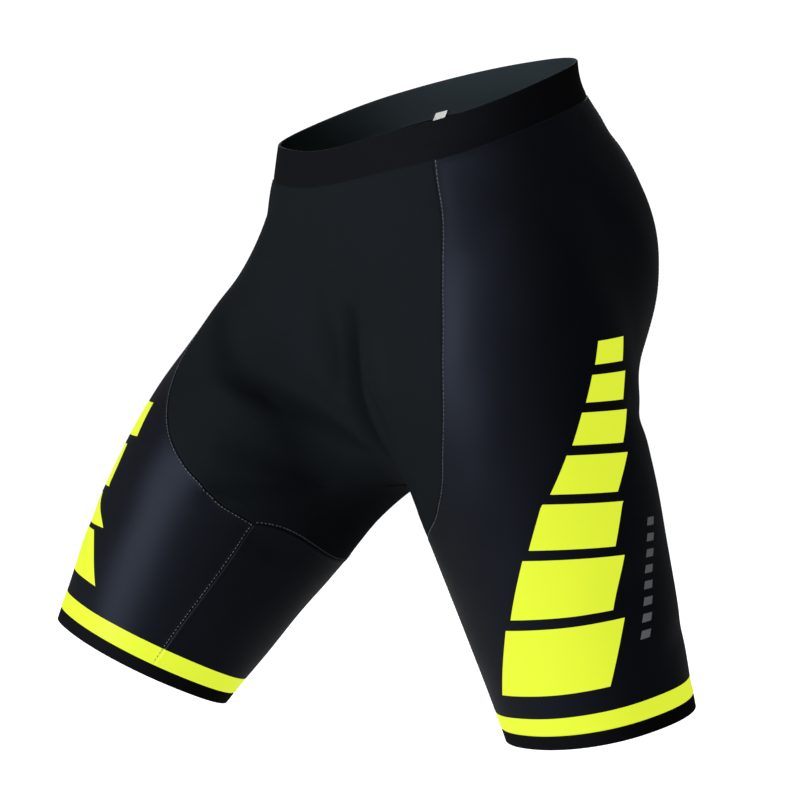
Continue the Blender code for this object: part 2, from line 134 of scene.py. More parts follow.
# Creases, each from one place on the cloth to another: a level, and degrees round from the outer side to
# the front. Depth is below nought for a trough and above it for a ridge.
CREASES = {
    "right": np.array([
        # level, turn, level, turn, depth, width
        (118,  62, 252, 121, -2.6, 14),
        (186,  83, 262, 150, -2.8, 10),
        (201, 100, 226, 111, -1.1,  5),
        (196, 116, 236, 140, -1.0,  5),
        (150, 128, 214, 132, -1.9, 11),
        ( 26,  40,  48,  60,  1.6, 12),
        ( 40,  20,  60,  48, -1.2,  9),
        (250,  96, 300, 140, -1.6, 12),
        (330,  20, 352,  90, -0.9, 14),
        (290, -10, 330,  40, -1.0, 15),
    ], float),
    "left": np.array([
        # level, turn, level, turn, depth, width
        (130, 113, 264, 137, -4.8, 12),
        (118, 128, 190, 136, -0.9, 12),
        (196, 118, 243, 104, -1.2,  6),
        (150,  96, 214,  92,  0.9, 14),
        (262,  96, 300, 112, -1.3, 11),
        ( 60,  20,  96,  40, -0.7, 16),
        (340, -30, 372,  30, -0.8, 15),
    ], float),
    "both": np.array([
        # level, turn, level, turn, depth, width
        (246, -112, 228,  -48, -4.2, 14),
        (262, -128, 256,  -70, -2.4, 11),
        (238,  -60, 214,  -22, -1.8, 12),
        (282,  -96, 290,  -52, -1.6, 12),
        (306, -118, 318,  -70, -1.0, 11),
        ( 90, -134, 214, -140, -2.6, 15),
        ( 44,  -90,  64,  -60, -0.9, 12),
        ( 36,  -40,  52,  -14, -0.8, 11),
        (352, -120, 380,  -70, -1.1, 13),
        (404,  -70, 420,  -20, -0.7, 13),
        (330,  150, 350,  196, -1.0, 12),
    ], float),
}
CREASE_POINTS = 9
# Painted shade in the creases: how much darker the cloth's colour is painted for each millimetre down in a
# trough, and the least and most of it; the most is above one, so a ridge is painted a little lighter.
CREASE_SHADE = 0.13
CREASE_SHADE_RANGE = (0.4, 1.12)
COOL_TINT = (0.58, 0.68, 1, 1)
# Share of the print's colour that it reflects, beside its glow, which is painted light given out whatever the
# lamps.
INK_SHARE = 0.2
# The dashes in metres: behind the bars, from above the ladder's foot, one to the next, and their sizes.
DASH_BEHIND = 0.016
DASH_START = 0.03
DASH_PITCH = 0.012
DASH_NUMBER = 8
DASH_SIZE = (0.009, 0.006)

# Sections of the trunk, from the waist down.
TRUNK = np.array([
    # height, middle x, middle y, half width, front depth, back depth
    (  60,  0,  0, 121,  90,  94),
    (  12,  0,  0, 123,  92, 101),
    ( -12,  0,  2, 127,  93, 119),
    ( -34, -1,  6, 134,  98, 131),
    ( -56, -2, 11, 141, 104, 137),
    ( -80, -4, 16, 148, 109, 138),
    (-110, -5, 22, 156, 112, 132),
    (-150, -5, 24, 160, 108, 121),
    (-190, -5, 22, 156, 100, 110),
    (-220, -5, 18, 146,  88,  96),
    (-250, -5, 12, 116,  62,  72),
    (-266, -5,  9,  74,  40,  46),
    (-276, -5,  6,   2,   2,   2),
], float)
# Between the thighs the cloth hangs like the underside of a round bar that runs from one to the other.
BRIDGE_ENDS = ((-78, 4, -220), (74, 11, -204))
BRIDGE_RADIUS = 68.0
# Each leg's axis from the hip down, and the inseam's turn from the inner side at its top and at the hem.
LEGS = {
    "left": dict(
        side=1, hip=(90, 4, -190), slope=(0.09, 0.25), length=271,
        inseam_turn=(59, 45), hem_level=0.25,
    ),
    "right": dict(
        side=-1, hip=(-94, -16, -190), slope=(-0.34, -0.58), length=275,
        inseam_turn=(22, 22), hem_level=0.22,
    ),
}
LEG_SECTIONS = {
    "left": np.array([
        # along, outer, inner, front, back
        (-150, 20, 20, 20, 20),
        (-110, 62, 40, 50, 56),
        ( -60, 82, 56, 76, 76),
        (   0, 90, 68, 90, 81),
        (  60, 90, 73, 91, 82),
        ( 120, 85, 73, 82, 82),
        ( 180, 78, 71, 73, 80),
        ( 240, 71, 68, 65, 77),
        ( 290, 67, 66, 60, 75),
    ], float),
    "right": np.array([
        (-150, 20, 20,  20, 20),
        (-110, 60, 40,  49, 56),
        ( -60, 81, 56,  83, 82),
        (   0, 91, 68,  96, 92),
        (  60, 94, 76,  99, 96),
        ( 120, 91, 77, 100, 93),
        ( 180, 82, 75,  93, 84),
        ( 240, 73, 71,  78, 77),
        ( 290, 68, 67,  62, 73),
    ], float),
}
SEAT_MIDDLE = (64, 80, -118)
SEAT_RADII = (76, 60, 84)
TRUNK_POWER = 2.3
LEG_POWER = 2.2
TRUNK_BRIDGE_BLEND = 12.0
TRUNK_LEG_BLEND = 36.0
LEG_LEG_BLEND = 22.0
SEAT_BLEND = 24.0

# The camera: its aim, which way it looks from, how far off it stands, and its lens.
AIM = (-0.01146, -0.01637, -0.21735)
CAMERA_TURN = np.radians(55)
CAMERA_RISE = np.radians(4)
CAMERA_DISTANCE = 2.6
CAMERA_LENS = 158.1
# The lamps: place, size and power, and the light from all round.
LAMPS = (
    ("key", (0.12, -2.9, 0.25), 1.3, 86.0),
    ("fill", (2.6, -1.4, 0.6), 1.8, 3.0),
    ("back", (-2.4, 1.6, 1.2), 1.6, 30.0),
)
AMBIENT = 0.1
FLOOR_LEVEL = -0.7
FLOOR_REACH = 12.0


def spline(table, at):
    """Smooth curve through a table's rows, by cubics with averaged slopes, held at its ends."""
    knots, values = table[:, 0], table[:, 1:]
    if knots[0] > knots[-1]:
        knots, values = knots[::-1], values[::-1]
    at = np.clip(at, knots[0], knots[-1])
    slopes = np.gradient(values, knots, axis=0)
    i = np.clip(np.searchsorted(knots, at) - 1, 0, len(knots) - 2)
    width = knots[i + 1] - knots[i]
    t = ((at - knots[i]) / width)[..., None]
    width = width[..., None]
    return ((2 * t**3 - 3 * t**2 + 1) * values[i] + (t**3 - 2 * t**2 + t) * width * slopes[i]
            + (3 * t**2 - 2 * t**3) * values[i + 1] + (t**3 - t**2) * width * slopes[i + 1])


def smooth(t):
    """0 to 1 with level ends: three t squared less two t cubed."""
    t = np.clip(t, 0, 1)
    return t * t * (3 - 2 * t)


def unit(v):
    """Each vector over its length."""
    return v / np.linalg.norm(v, axis=-1, keepdims=True)


def outside_oval(across, along, half_across, half_along, power):
    """Distance outside a rounded oval along the ray from its middle: its length less its length inside."""
    length = np.sqrt(across**2 + along**2) + 1e-9
    ratio = ((np.abs(across) / half_across)**power + (np.abs(along) / half_along)**power)**(1 / power)
    return length * (1 - 1 / np.maximum(ratio, 1e-6))


def joined(a, b, blend):
    """The smaller of two distances, less a quarter of the blend where they meet, rounded as a parabola."""
    near = np.maximum(blend - np.abs(a - b), 0) / blend
    return np.minimum(a, b) - near * near * blend / 4


def trunk(p):
    """Distance outside the trunk: outside the oval section at each height."""
    section = spline(TRUNK, p[..., 2])
    x, y = p[..., 0] - section[..., 0], p[..., 1] - section[..., 1]
    depth = np.where(y < 0, section[..., 3], section[..., 4])
    return np.maximum(outside_oval(x, y, section[..., 2], depth, TRUNK_POWER), TRUNK[-1, 0] - p[..., 2])


def bridge(p):
    """Distance outside the bar between the thighs: from its axis, less its radius."""
    start, end = np.array(BRIDGE_ENDS, float)
    run = end - start
    share = np.clip((p - start) @ run / (run @ run), 0, 1)
    return np.linalg.norm(p - start - share[..., None] * run, axis=-1) - BRIDGE_RADIUS


def leg_axes(half):
    """Down, outward and forward directions of a leg."""
    leg = LEGS[half]
    down = unit(np.array([leg["slope"][0], leg["slope"][1], -1.0]))
    side = np.array([leg["side"], 0.0, 0.0])
    out = unit(side - down * (side @ down))
    return down, out, np.cross(down, out) * leg["side"]


def leg(p, half):
    """Distance outside a leg: outside the oval section square to its axis."""
    down, out, front = leg_axes(half)
    q = p - np.array(LEGS[half]["hip"], float)
    along, across, forward = q @ down, q @ out, q @ front
    section = spline(LEG_SECTIONS[half], along)
    width = np.where(across > 0, section[..., 0], section[..., 1])
    depth = np.where(forward > 0, section[..., 2], section[..., 3])
    top = LEG_SECTIONS[half][0, 0]
    return np.maximum(outside_oval(across, forward, width, depth, LEG_POWER), top - along)


def seat(p, side):
    """Distance outside one half of the seat, an ellipsoid, by its shortest radius."""
    middle = np.array(SEAT_MIDDLE, float) * (side, 1, 1) + (CENTRE_X, 0, 0)
    return (np.linalg.norm((p - middle) / SEAT_RADII, axis=-1) - 1) * min(SEAT_RADII)


def form(p):
    """Distance outside the filled-out garment: trunk, bridge, legs and the two halves of the seat, joined."""
    body = joined(trunk(p), bridge(p), TRUNK_BRIDGE_BLEND)
    legs = joined(leg(p, "left"), leg(p, "right"), LEG_LEG_BLEND)
    seats = np.minimum(seat(p, 1), seat(p, -1))
    return joined(joined(body, legs, TRUNK_LEG_BLEND), seats, SEAT_BLEND)


def form_slope(p, step=0.5):
    """How fast the distance outside grows along each axis, by differences."""
    steps = np.eye(3) * step
    return np.stack([form(p + s) - form(p - s) for s in steps], -1) / (2 * step)


def surface_distance(start, direction, reach=260.0):
    """Distance from inside points along their directions to the form's surface, by steps, then halving."""
    steps = np.linspace(0, reach, 53)
    outside = form(start[..., None, :] + direction[..., None, :] * steps[:, None]) > 0
    first = np.where(outside.any(-1), outside.argmax(-1), len(steps) - 1)
    near, far = steps[np.maximum(first - 1, 0)], steps[first]
    for _ in range(14):
        middle = (near + far) / 2
        out = form(start + direction * middle[..., None]) > 0
        near, far = np.where(out, near, middle), np.where(out, middle, far)
    return (near + far) / 2


@lru_cache(maxsize=None)
def fork():
    """Lowest point of the form's surface on the centre plane, between the legs."""
    y = np.linspace(-40, 60, 201)
    start = np.stack([np.full_like(y, CENTRE_X), y, np.full_like(y, -200.0)], -1)
    drop = surface_distance(start, np.array([0.0, 0.0, -1.0]) + 0 * start, 140.0)
    lowest = np.argmax(drop)
    return np.array([CENTRE_X, y[lowest], -200 - drop[lowest]])


def row_frame(half, level):
    """Middle, outward and forward directions of the plane of each level.

    The plane of the waist is tilted, that of the fork is flat, and the hem's is nearly square to the leg.
    """
    side, low = LEGS[half]["side"], fork()
    above = np.clip(1 - level / FORK_LEVEL, 0, 1)[..., None]
    below = ((level - FORK_LEVEL) / (HEM_LEVEL - FORK_LEVEL))[..., None]
    tilt = smooth((above - LEVEL_ABOVE_FORK) / TILT_RUN)
    waist = np.array([-WAIST_ROLL, -WAIST_PITCH, 0]) * tilt + (0, 0, 1)
    down, _, _ = leg_axes(half)
    square = LEGS[half]["hem_level"]
    hem = -down * (1 - square) + np.array([0, 0, square])
    turn = smooth(below / HEM_TURN_RUN)
    up = unit(np.where(below > 0, waist * (1 - turn) + hem * turn, waist))
    out = unit(np.array([side, 0, 0]) - up * up[..., :1] * side)
    front = np.cross(out, up) * side
    z = np.minimum(level, FORK_LEVEL)[..., None] * low[2] / FORK_LEVEL
    line = np.concatenate([np.full_like(z, CENTRE_X), low[1] * (1 - above), z], -1)
    out_by = MIDDLE_AT_FORK + (MIDDLE_AT_WAIST - MIDDLE_AT_FORK) * above
    middle = np.concatenate([CENTRE_X + side * out_by, MIDDLE_BACK * (1 - above), z], -1)
    middle[..., 2:] -= ((middle - line)[..., :2] * up[..., :2]).sum(-1, keepdims=True) / up[..., 2:]
    hip = np.array(LEGS[half]["hip"], float)
    start = hip + down * (low[2] - hip[2]) / down[2]
    end = hip + down * LEGS[half]["length"]
    middle = np.where(below > 0, start + (end - start) * below, middle)
    return middle, out, front, up, line


def rim_rise(angle_from_front):
    """How far the waist's edge stands above its plane: down at the front, up at the back."""
    dip = FRONT_DIP * np.exp(-(angle_from_front / FRONT_DIP_SPREAD)**2)
    return BACK_RISE * smooth((angle_from_front - BACK_RISE_FROM) / BACK_RISE_RUN) - dip


def inseam_angle(half, level):
    """Where the leg panel's own seam lies, from the outer side round by the front."""
    turned = np.interp(level, (CORNER_LEVEL, HEM_LEVEL), LEGS[half]["inseam_turn"])
    return np.pi - np.radians(turned)


def split_angle(half, level):
    """Where the front and back panels meet, from the fork down to the back of the inner thigh."""
    middle, out, front, _, _ = row_frame(half, np.array([FORK_LEVEL + 1e-3]))
    to_fork = fork() - middle[0]
    top = np.arctan2(to_fork @ front[0], to_fork @ out[0]) % TURN
    corner = inseam_angle(half, CORNER_LEVEL) + UNDER_SPREAD
    return top + (corner - top) * (level - FORK_LEVEL) / (CORNER_LEVEL - FORK_LEVEL)


def sag(half, level, angle):
    """How far a row dips at the back of the inner thigh: a cosine squared, full at the lower seam."""
    from_middle = np.angle(np.exp(1j * (angle - inseam_angle(half, CORNER_LEVEL) - UNDER_SPREAD)))
    window = np.cos(np.pi / 2 * np.clip(from_middle / UNDER_SPREAD, -1, 1))**2
    fade = np.interp(level, (FORK_LEVEL, CORNER_LEVEL, HEM_LEVEL - HEM_BAND), (0, 1, 0))
    return UNDER_SAG * window * fade


def cast(half, levels, angles, past_centre=False):
    """Surface points, from the middle of each level along the ray at each angle.

    An angle of 0 is outwards and a quarter turn is forwards. A ray stops at the garment's centre plane
    unless it may go past it.
    """
    middle, out, front, _, _ = row_frame(half, levels)
    direction = np.cos(angles)[..., None] * out + np.sin(angles)[..., None] * front
    distance = surface_distance(middle, direction)
    if not past_centre:
        side = LEGS[half]["side"]
        inward = (-direction[..., 0] * side).clip(1e-6)
        distance = np.minimum(distance, (middle[..., 0] - CENTRE_X) * side / inward)
    return middle + direction * distance[..., None]


def angle_to(half, levels, points):
    """Angles at which points near the plane of each level are seen from its middle."""
    middle, out, front, _, _ = (v[:, None] for v in row_frame(half, levels))
    reach = points - middle
    return np.arctan2((reach * front).sum(-1), (reach * out).sum(-1))


@lru_cache(maxsize=None)
def side_turn(half):
    """Where the line down the leg's outer side meets the trunk's lowest row."""
    side = cast(half, np.array([FORK_LEVEL + 1e-3]), np.zeros(1))
    return float(angle_to(half, np.array([FORK_LEVEL - 1e-3]), side[None])[0, 0])


def trunk_rows(half, levels):
    """Rows of the trunk from the front's centre line out to the back's, and the share of each at its side."""
    share = np.linspace(0, 1, ROW_POINTS)
    risen = levels[:, None] - rim_rise(share * np.pi) * (1 - smooth(levels / RIM_FADE))[:, None]
    _, _, _, up, line = row_frame(half, risen[:, [0, -1]])
    forward = unit(np.stack([0 * up[..., 0], -up[..., 2], up[..., 1]], -1)) * [[1], [-1]]
    ends = line + forward * surface_distance(line, forward)[..., None]
    first, last = (angle_to(half, levels, ends) % TURN).T
    angles = first[:, None] + (last - TURN - first)[:, None] * share
    points = cast(half, risen, angles)
    points[:, [0, -1]] = ends
    side = side_turn(half) * smooth(levels / FORK_LEVEL)
    return points, (first - side) / (first - last + TURN)


def leg_rows(half, levels, starts):
    """Closed rings of a leg from their starting angles outwards, and the share of each at its side."""
    levels = levels.clip(FORK_LEVEL + 1e-3)[:, None]
    angles = starts[:, None] - TURN * np.linspace(0, 1, ROW_POINTS)
    points = cast(half, levels + sag(half, levels, angles), angles)
    points[np.ix_(levels[:, 0] < FORK_LEVEL + 0.01, [0, -1])] = fork()
    return points, starts / TURN


def run_along(points):
    """Distance along each row to each of its points."""
    step = np.linalg.norm(np.diff(points, axis=1), axis=2)
    return np.pad(np.cumsum(step, axis=1), ((0, 0), (1, 0)))


def stations(points, distance):
    """Points at the given distances along each row, all rows at once, straight between neighbours."""
    run = run_along(points)
    first = np.arange(len(run))[:, None] * run.shape[1]
    shift = np.arange(len(run))[:, None] * (run.max() + 1)
    place = np.searchsorted((run + shift).ravel(), (distance + shift).ravel(), "right") - 1
    place = np.clip(place.reshape(distance.shape), first, first + run.shape[1] - 2)
    run, points = run.ravel(), points.reshape(-1, 3)
    share = ((distance - run[place]) / (run[place + 1] - run[place]))[..., None]
    return points[place] * (1 - share) + points[place + 1] * share


def spread(start, end, step):
    """Distances from start to end, even but for closer ones at both ends."""
    edge = np.array(EDGE_COLUMNS)
    steps = max(round((end - start - 2 * edge[-1]) / step), 2)
    inner = np.linspace(start + edge[-1], end - edge[-1], steps + 1)
    return np.concatenate([start + edge[:-1], inner, end - edge[-2::-1]])


@lru_cache(maxsize=None)
def hip_levels():
    """Levels of the rows from the waistband to the lower seam, closer where the cloth turns under."""
    top = spread(WAISTBAND, TURNING_FROM, ROW_STEP)
    top = top[top < TURNING_FROM - EDGE_COLUMNS[-1] / 2]
    left_over = 1 - np.linspace(0, 1, TURNING_ROWS + 1)
    turning = FORK_LEVEL - (FORK_LEVEL - TURNING_FROM) * left_over**TURNING_POWER
    edge = CORNER_LEVEL - np.array(EDGE_COLUMNS)[::-1]
    under = FORK_LEVEL + (edge[0] - FORK_LEVEL) * np.linspace(0, 1, UNDER_ROWS + 1)[1:-1]**UNDER_POWER
    return np.concatenate([top, turning, under, edge])


@lru_cache(maxsize=None)
def hip_rows(half):
    """The rows at the hip levels: points, each row's length, and the distance along it to the side."""
    levels = hip_levels()
    on_trunk = levels < FORK_LEVEL - 0.01
    upper, upper_side = trunk_rows(half, levels[on_trunk])
    lower, lower_side = leg_rows(half, levels[~on_trunk], split_angle(half, levels[~on_trunk]))
    return with_side(np.concatenate([upper, lower]), np.concatenate([upper_side, lower_side]))


def with_side(points, side_share):
    """Points, each row's length, and the distance along each row to its side."""
    run = run_along(points)
    place = side_share * (ROW_POINTS - 1)
    i = place.astype(int)
    rows = np.arange(len(run))
    side = run[rows, i] + (run[rows, i + 1] - run[rows, i]) * (place - i)
    return points, run[:, -1], side


@lru_cache(maxsize=None)
def ring_levels():
    """Levels of a leg's rows, from the lower seam to the hem band."""
    return spread(CORNER_LEVEL, HEM_LEVEL - HEM_BAND, ROW_STEP)


def ring_rows(half, levels):
    """Rings from the inseam once round: points, each ring's length, and the distance along it to the side."""
    return with_side(*leg_rows(half, levels, inseam_angle(half, levels)))


@lru_cache(maxsize=None)
def hip_seams(half):
    """Distances along the hip rows to the front seam and to the back seam."""
    _, _, side = hip_rows(half)
    levels = hip_levels()
    front, back = spline(SEAMS, levels).T[slice(0, 2) if half == "left" else slice(2, 4)]
    front_seam = side - front
    # At the lower seam the front seam meets the inseam.
    meeting = smooth((levels - FORK_LEVEL) / (CORNER_LEVEL - FORK_LEVEL))
    return front_seam + (corner_length(half) - front_seam[-1]) * meeting, side + back


@lru_cache(maxsize=None)
def side_heights(half):
    """Heights of the hip rows and of the leg's rings above the hem, measured down the side of the leg."""
    hip, _, side = hip_rows(half)
    levels = np.concatenate([ring_levels(), [HEM_LEVEL]])
    rings, _, ring_side = ring_rows(half, levels)
    line = np.concatenate([stations(hip, side[:, None])[:-1, 0], stations(rings, ring_side[:, None])[:, 0]])
    step = np.linalg.norm(np.diff(line, axis=0), axis=1)
    height = np.append(np.cumsum(step[::-1])[::-1], 0)
    return height[:len(hip)], height[len(hip) - 1:-1]


@lru_cache(maxsize=None)
def crease_lines(half):
    """Points along each crease, by even steps of level and turn, with the creases' depths and widths."""
    table = np.concatenate([CREASES[half], CREASES["both"]])
    share = np.linspace(0, 1, CREASE_POINTS)
    levels = table[:, :1] + (table[:, 2:3] - table[:, :1]) * share
    turns = np.radians(table[:, 1:2] + (table[:, 3:4] - table[:, 1:2]) * share)
    return cast(half, levels, turns, past_centre=True), table[:, 4], table[:, 5]


def creased(points):
    """Height of the creases at each point: along each, a trough with raised lips that fades at both ends.

    The trough is its depth times one less the square of the distance in widths, times the bell of it.
    """
    height = np.zeros(points.shape[:-1])
    for half in LEGS:
        lines, depths, widths = crease_lines(half)
        for line, depth, width in zip(lines, depths, widths):
            start, run = line[:-1], np.diff(line, axis=0)
            to_point = points[..., None, :] - start
            share = np.clip((to_point * run).sum(-1) / (run * run).sum(-1), 0, 1)
            away = np.linalg.norm(to_point - share[..., None] * run, axis=-1)
            nearest = away.argmin(-1)[..., None]
            along = (nearest + np.take_along_axis(share, nearest, -1))[..., 0] / len(run)
            near = (np.take_along_axis(away, nearest, -1)[..., 0] / width)**2
            ends = (4 * along * (1 - along)).clip(0, 1)**0.7
            height += depth * ends * (1 - 0.55 * near) * np.exp(-near)
    return height


def unevenness(points):
    """Low, broad waves in the cloth: a sum of sines of the place along slanted directions."""
    waves = np.array([
        # x, y, z, phase
        ( 0.071,  0.043,  0.029, 0.4),
        (-0.052,  0.066,  0.038, 2.1),
        ( 0.037, -0.058,  0.081, 4.4),
        ( 0.118,  0.064, -0.047, 1.3),
        (-0.083,  0.109,  0.072, 3.6),
    ])
    return WAVE_HEIGHT * np.sin(points @ waves[:, :3].T + waves[:, 3]).sum(-1) / len(waves) * 2


def to_surface(points):
    """The points moved onto the form, by one step of Newton's rule, and the form's normals there."""
    slope = form_slope(points)
    points = points - slope * (form(points) / (slope * slope).sum(-1))[..., None]
    return points, unit(slope)


def cloth_points(points, from_edge, lip=0.0):
    """The cloth's outer points, with creases, broad waves and its edge, rolled in at a seam, and the normals.

    from_edge is the distance to the nearest seam. The edge dips by a bell, with another as a lip beside it.
    """
    points, normals = to_surface(points)
    height = creased(points) + unevenness(points) * smooth(from_edge / WAVE_FADE)
    height += lip * np.exp(-((from_edge - LIP_PLACE) / LIP_SPREAD)**2)
    height -= PANEL_DIP * np.exp(-(from_edge / DIP_SPREAD)**2)
    return points + normals * height[..., None], normals


def grid_faces(index, half):
    """Quads of a grid of point numbers, facing out."""
    quads = np.stack([index[:-1, :-1], index[1:, :-1], index[1:, 1:], index[:-1, 1:]], -1).reshape(-1, 4)
    return quads if LEGS[half]["side"] > 0 else quads[:, ::-1]


def new_object(name, points, faces, material, cloth=None, **attributes):
    """A mesh object from points in millimetres and faces, with the cloth's measures as its UV map."""
    mesh = bpy.data.meshes.new(name)
    mesh.vertices.add(len(points))
    mesh.vertices.foreach_set("co", (points * MILLIMETRE).astype(np.float32).ravel())
    size = faces.shape[1]
    mesh.loops.add(faces.size)
    mesh.loops.foreach_set("vertex_index", faces.astype(np.int32).ravel())
    mesh.polygons.add(len(faces))
    mesh.polygons.foreach_set("loop_start", np.arange(0, faces.size, size, dtype=np.int32))
    mesh.update(calc_edges=True)
    mesh.validate()
    if cloth is not None:
        layer = mesh.uv_layers.new(name="Cloth")
        loops = np.empty(len(mesh.loops), np.int32)
        mesh.loops.foreach_get("vertex_index", loops)
        layer.uv.foreach_set("vector", (cloth * MILLIMETRE)[loops].astype(np.float32).ravel())
    for attribute, values in attributes.items():
        data = mesh.attributes.new(attribute, "FLOAT", "POINT").data
        data.foreach_set("value", values.astype(np.float32))
    mesh.materials.append(material)
    mesh.shade_smooth()
    piece = bpy.data.objects.new(name, mesh)
    bpy.context.scene.collection.objects.link(piece)
    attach(piece, "root")
    return piece


def shell(name, outer, inner, faces, material, cloth, inner_side_knit=None, **attributes):
    """A closed shell from its outer and inner points, with walls along its open edges."""
    edges = np.concatenate([faces[:, [k, (k + 1) % 4]] for k in range(4)])
    _, kind, uses = np.unique(np.sort(edges, axis=1), axis=0, return_inverse=True, return_counts=True)
    start, end = edges[uses[kind.ravel()] == 1].T
    inside = len(outer)
    sides = np.stack([end, start, start + inside, end + inside], -1)
    slots = np.repeat([0, 1, 0], [len(faces), len(faces), len(sides)]).astype(np.int32)
    faces = np.concatenate([faces, faces[:, ::-1] + inside, sides])
    attributes = {key: np.tile(values, 2) for key, values in attributes.items()}
    # The outer side's crease heights go on as an attribute, which the knits read to paint shade into the
    # troughs.
    piece = new_object(
        name, np.concatenate([outer, inner]), faces, material, np.tile(cloth, (2, 1)),
        crease=np.concatenate([creased(outer), np.zeros(len(inner))]), **attributes)
    if inner_side_knit is not None:
        piece.data.materials.append(inner_side_knit)
        piece.data.polygons.foreach_set("material_index", slots)
    piece.data.set_sharp_from_angle(angle=np.radians(50))
    return piece


def seam_distance(across, width):
    """Distance to the nearer side seam, from places along rows and the rows' widths."""
    return np.minimum(across, width[:, None] - across)


def down_columns(points, from_end=False):
    """Distance down each column to each of its points, or up it from its end."""
    run = run_along(points.transpose(1, 0, 2)).T
    return run[-1] - run if from_end else run


def panel_grid(half, front):
    """A front or back panel's points by row and column, their distance to a seam and the cloth's measures."""
    points, length, side = hip_rows(half)
    front_seam, back_seam = hip_seams(half)
    width = front_seam if front else length - back_seam
    share = spread(0, width.mean(), COLUMN_STEP) / width.mean()
    across = width[:, None] * share
    along = across if front else length[:, None] - width[:, None] + across
    grid = stations(points, along)
    # The centre seams are flat, so they don't count.
    from_seam = width[:, None] - across if front else across
    from_edge = np.minimum(from_seam, np.minimum(down_columns(grid), down_columns(grid, True)))
    height, _ = side_heights(half)
    measures = np.stack([side[:, None] - along, np.repeat(height[:, None], len(share), 1)], -1)
    return grid, from_edge, measures


@lru_cache(maxsize=None)
def corner_length(half):
    """Length of the lower seam's front stretch, from where the front and back panels meet to the inseam."""
    points, _, _ = hip_rows(half)
    return float(np.interp(UNDER_SPREAD, np.linspace(0, TURN, ROW_POINTS), run_along(points[-1:])[0]))


def simple_panel(name, half, front, material):
    """A front or back panel as a shell."""
    grid, from_edge, measures = panel_grid(half, front)
    outer, normals = cloth_points(grid.reshape(-1, 3), from_edge.ravel())
    faces = grid_faces(np.arange(len(outer)).reshape(grid.shape[:2]), half)
    return shell(name, outer, outer - normals * PANEL_WALL, faces, material, measures.reshape(-1, 2))


def leg_panel(name, half, lip, material):
    """The panel that wraps the outside of the hip and, below the lower seam, the whole leg, as one shell."""
    points, _, side = hip_rows(half)
    ring_points, ring_length, ring_side = ring_rows(half, ring_levels())
    begin, end = hip_seams(half)
    width = end - begin
    hip_share = spread(0, width.mean(), COLUMN_STEP) / width.mean()
    hip_across = width[:-1, None] * hip_share
    hip = stations(points[:-1], begin[:-1, None] + hip_across)
    hip_end = width[-1] / ring_length[0]
    under = spread(0, (1 - hip_end) * ring_length[0], COLUMN_STEP) / ring_length[0]
    share = np.concatenate([hip_share * hip_end, hip_end + under[1:]])
    ring_across = ring_length[:, None] * share
    ring = stations(ring_points, ring_across)
    # How far each point is from a seam: at the hip the two side seams and the waist, and on the leg the
    # inseam, the hem band and, under the thigh, the lower seam.
    hip_edge = np.minimum(seam_distance(hip_across, width[:-1]), down_columns(hip))
    ring_edge = np.minimum(seam_distance(ring_across, ring_length), down_columns(ring, True))
    under_thigh = ring_across > (hip_end * ring_length)[:, None] - 1e-6
    past_corner = (hip_end * ring_length)[:, None] - ring_across
    lower = np.where(under_thigh, down_columns(ring), np.hypot(down_columns(ring), past_corner))
    ring_edge = np.minimum(ring_edge, lower)
    hip_height, ring_height = side_heights(half)
    hip_measures = np.stack([
        side[:-1, None] - begin[:-1, None] - hip_across,
        np.repeat(hip_height[:-1, None], len(hip_share), 1),
    ], -1)
    ring_measures = np.stack([
        ring_side[:, None] - ring_across,
        np.repeat(ring_height[:, None], len(share), 1),
    ], -1)
    hem, _, _ = ring_rows(half, np.array([HEM_LEVEL]))
    to_hem = np.concatenate([ring, stations(hem, share[None] * run_along(hem)[:, -1:])])
    above_hem = down_columns(to_hem, True)[:-1]
    flat_points = np.concatenate([hip.reshape(-1, 3), ring.reshape(-1, 3)])
    outer, normals = cloth_points(flat_points, np.concatenate([hip_edge.ravel(), ring_edge.ravel()]), lip)
    hip_index = np.arange(hip[..., 0].size).reshape(hip.shape[:2])
    ring_index = hip_index.size + np.arange(ring[..., 0].size).reshape(ring.shape[:2])
    hip_index = np.concatenate([hip_index, ring_index[:1, :len(hip_share)]])
    faces = np.concatenate([grid_faces(hip_index, half), grid_faces(ring_index, half)])
    measures = np.concatenate([hip_measures.reshape(-1, 2), ring_measures.reshape(-1, 2)])
    above_hem = np.concatenate([np.full(hip[..., 0].size, FAR_ABOVE), above_hem.ravel()]) * MILLIMETRE
    return shell(name, outer, outer - normals * PANEL_WALL, faces, material, measures, above_hem=above_hem)


def band_profile(wall, length, step):
    """Distances down a band from its folded edge, and how far its outer and inner walls lie in at each.

    The fold is half a circle as wide as the wall: each wall comes in by the radius less the circle's height.
    """
    radius = wall / 2
    fold = radius * (1 - np.cos(np.linspace(0.08, 1, 6) * np.pi / 2))
    steps = max(round((length - radius) / step), 2)
    down = np.concatenate([fold, np.linspace(radius, length, steps + 1)[1:]])
    inward = radius - np.sqrt(radius**2 - (radius - down).clip(0)**2)
    return down, inward, wall - inward


def band(name, rows, half, profile, material, inner_side_knit=None):
    """A closed band from rows that each run once round, folded at its first row."""
    down, outer_in, inner_in = profile
    points, normals = to_surface(rows)
    height = creased(points) * smooth(down / 8)[:, None]
    height = height - BAND_DIP * np.exp(-((down[-1] - down) / DIP_SPREAD)**2)[:, None]
    outer = points + normals * (height - outer_in[:, None])[..., None]
    inner = points + normals * (height - inner_in[:, None])[..., None]
    index = np.arange(points[..., 0].size).reshape(points.shape[:2])
    index = np.concatenate([index, index[:, :1]], axis=1)
    run = run_along(rows)
    measures = np.stack([run, np.repeat(down[:, None], run.shape[1], 1)], -1).reshape(-1, 2)
    outer, inner = outer.reshape(-1, 3), inner.reshape(-1, 3)
    return shell(name, outer, inner, grid_faces(index, half), material, measures, inner_side_knit)


